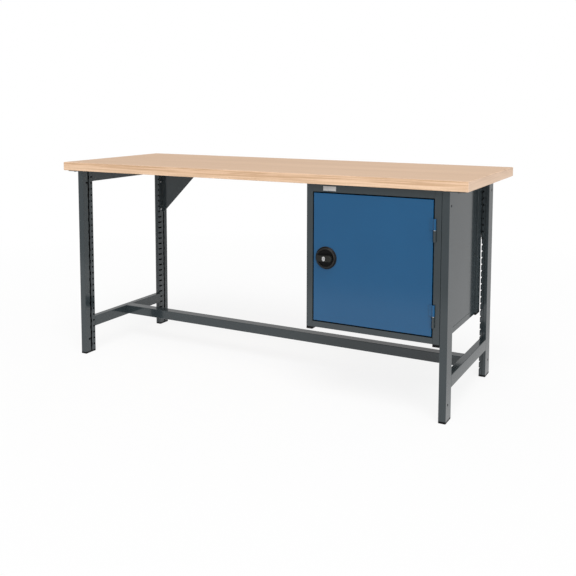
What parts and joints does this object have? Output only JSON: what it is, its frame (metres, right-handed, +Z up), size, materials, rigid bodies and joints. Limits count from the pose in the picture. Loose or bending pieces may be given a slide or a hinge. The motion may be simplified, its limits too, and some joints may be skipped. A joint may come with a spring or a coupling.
{
  "type": "workbench",
  "caption": "Steel-frame workbench with a thick beech worktop, a floor stretcher and a hung cabinet under one end, its door side-hinged with a turning latch handle.",
  "frame": {"origin": "on the floor, at the middle of the part's outline seen from above", "axes": "+X along the bench towards the cabinet end, +Y from the user's side to the back, +Z up"},
  "size_m": [2, 0.759, 0.953],
  "materials": {
    "beech": "oiled beech multiplex, edge-on plies along the edges",
    "grey_paint": "semi-gloss slate grey powder coat",
    "blue_paint": "semi-gloss gentian blue powder coat",
    "black_plastic": "fine-grained moulded black plastic",
    "zinc_steel": "bright zinc plating",
    "black_steel": "black finished screws",
    "lock_chrome": "polished lock cylinder",
    "label_plate": "blank satin plate"
  },
  "bodies": {
    "bench": {"blank_label": "label_plate", "cabinet_back": "grey_paint", "cabinet_floor": "grey_paint", "cabinet_front_bottom_rail": "grey_paint", "cabinet_front_left_post": "grey_paint", "cabinet_front_right_post": "grey_paint", "cabinet_front_top_rail": "grey_paint", "cabinet_left_panel": "grey_paint", "cabinet_left_rail": "grey_paint", "cabinet_post_caps": "black_plastic", "cabinet_rear_left_post": "grey_paint", "cabinet_rear_right_post": "grey_paint", "cabinet_right_panel": "grey_paint", "cabinet_right_rail": "grey_paint", "cabinet_roof": "grey_paint", "cabinet_shelf": "grey_paint", "front_left_foot_cap": "black_plastic", "front_left_leg": "grey_paint", "front_left_leg_plate": "grey_paint", "front_right_foot_cap": "black_plastic", "front_right_leg": "grey_paint", "front_right_leg_plate": "grey_paint", "gusset_screws": "zinc_steel", "hinge_washers": "zinc_steel", "left_gusset": "grey_paint", "left_lower_rail": "grey_paint", "left_top_rail": "grey_paint", "lower_frame_knuckle": "grey_paint", "lower_hinge_pin": "zinc_steel", "rear_left_foot_cap": "black_plastic", "rear_left_leg": "grey_paint", "rear_left_leg_plate": "grey_paint", "rear_right_foot_cap": "black_plastic", "rear_right_leg": "grey_paint", "rear_right_leg_plate": "grey_paint", "right_gusset": "grey_paint", "right_lower_rail": "grey_paint", "shelf_clips": "zinc_steel", "stretcher": "grey_paint", "stretcher_bolts": "zinc_steel", "stretcher_end_plates": "grey_paint", "upper_frame_knuckle": "grey_paint", "upper_hinge_pin": "zinc_steel", "worktop": "beech", "worktop_screws": "black_steel"},
    "door": {"door_panel": "blue_paint", "door_stiffener": "blue_paint", "handle_rosette": "black_plastic", "lock_bush": "zinc_steel", "lower_door_knuckle": "blue_paint", "upper_door_knuckle": "blue_paint"},
    "turn_handle": {"handle": "black_plastic", "handle_spindle": "zinc_steel", "latch_cam": "zinc_steel", "cam_nut": "zinc_steel", "lock_face": "lock_chrome"},
    "key_plug": {"lock_plug": "lock_chrome"}
  },
  "joints": [
    {"name": "door_swing", "type": "hinge", "parent": "bench", "child": "door", "pos_m": [0.87, -0.3581, 0.608], "axis": [0, 0, 1], "range_deg": [0, 170]},
    {"name": "handle_turn", "type": "hinge", "parent": "door", "child": "turn_handle", "pos_m": [0.4115, -0.3525, 0.608], "axis": [0, 1, 0], "range_deg": [0, 90]},
    {"name": "key_turn", "type": "hinge", "parent": "turn_handle", "child": "key_plug", "pos_m": [0.4115, -0.3795, 0.608], "axis": [0, 1, 0], "range_deg": [0, 90]}
  ]
}
